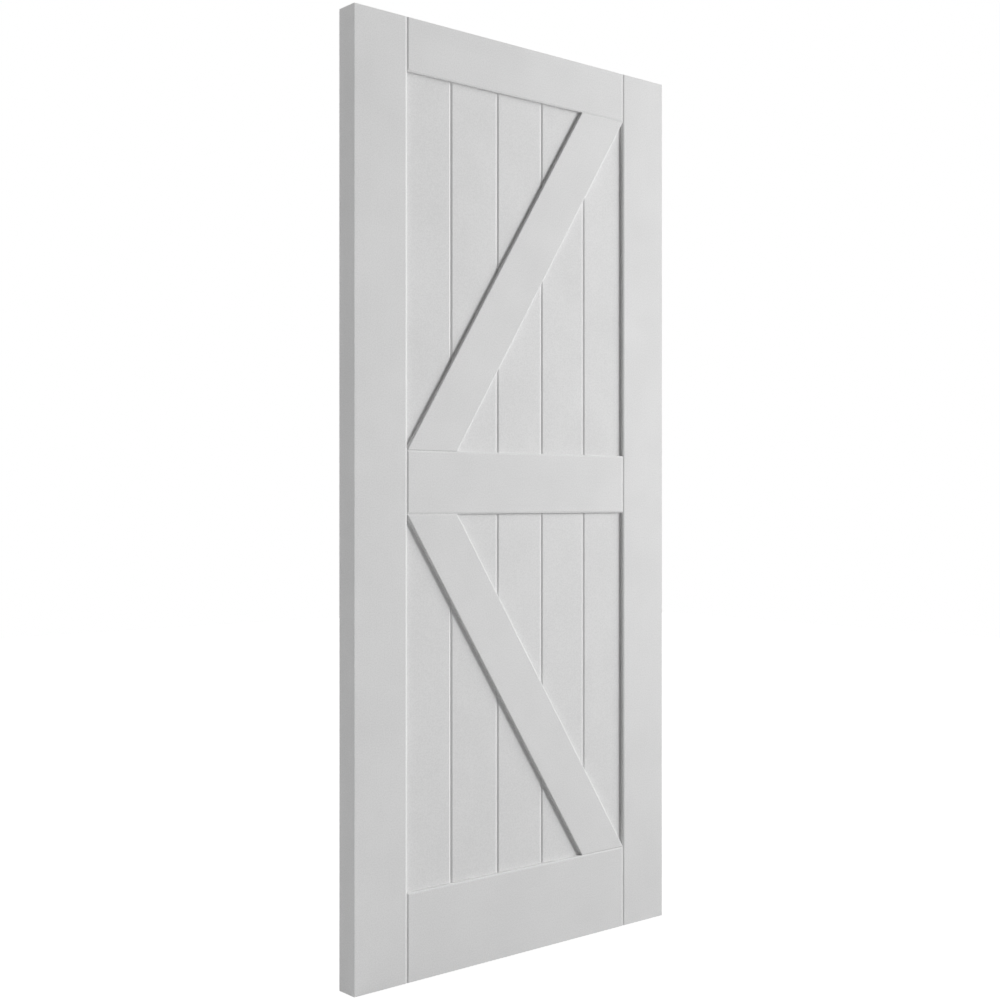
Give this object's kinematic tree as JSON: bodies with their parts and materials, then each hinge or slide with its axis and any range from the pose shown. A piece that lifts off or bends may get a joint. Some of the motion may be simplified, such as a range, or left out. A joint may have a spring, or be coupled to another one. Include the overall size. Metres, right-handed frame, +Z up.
{
  "type": "ledged and braced door leaf",
  "caption": "White primed door leaf: a jointed frame with V-jointed boards let in, and braces running from the middle rail to the far corners on both faces.",
  "frame": {"origin": "on the hinge edge's face, at the foot of the leaf, halfway through its thickness", "axes": "+Z up, +X across the width from the hinge edge to the lock edge, +Y through the thickness from the pictured face to the back"},
  "size_m": [0.914, 0.054, 2.032],
  "materials": {
    "white_primer": "satin white primer over sanded wood, fine roller stipple"
  },
  "bodies": {
    "root": {"hinge_stile": "white_primer", "lock_stile": "white_primer", "top_rail": "white_primer", "middle_rail": "white_primer", "bottom_rail": "white_primer", "upper_board_1": "white_primer", "upper_board_2": "white_primer", "upper_board_3": "white_primer", "upper_board_4": "white_primer", "upper_board_5": "white_primer", "lower_board_1": "white_primer", "lower_board_2": "white_primer", "lower_board_3": "white_primer", "lower_board_4": "white_primer", "lower_board_5": "white_primer", "front_upper_brace": "white_primer", "back_upper_brace": "white_primer", "front_lower_brace": "white_primer", "back_lower_brace": "white_primer"}
  },
  "joints": []
}
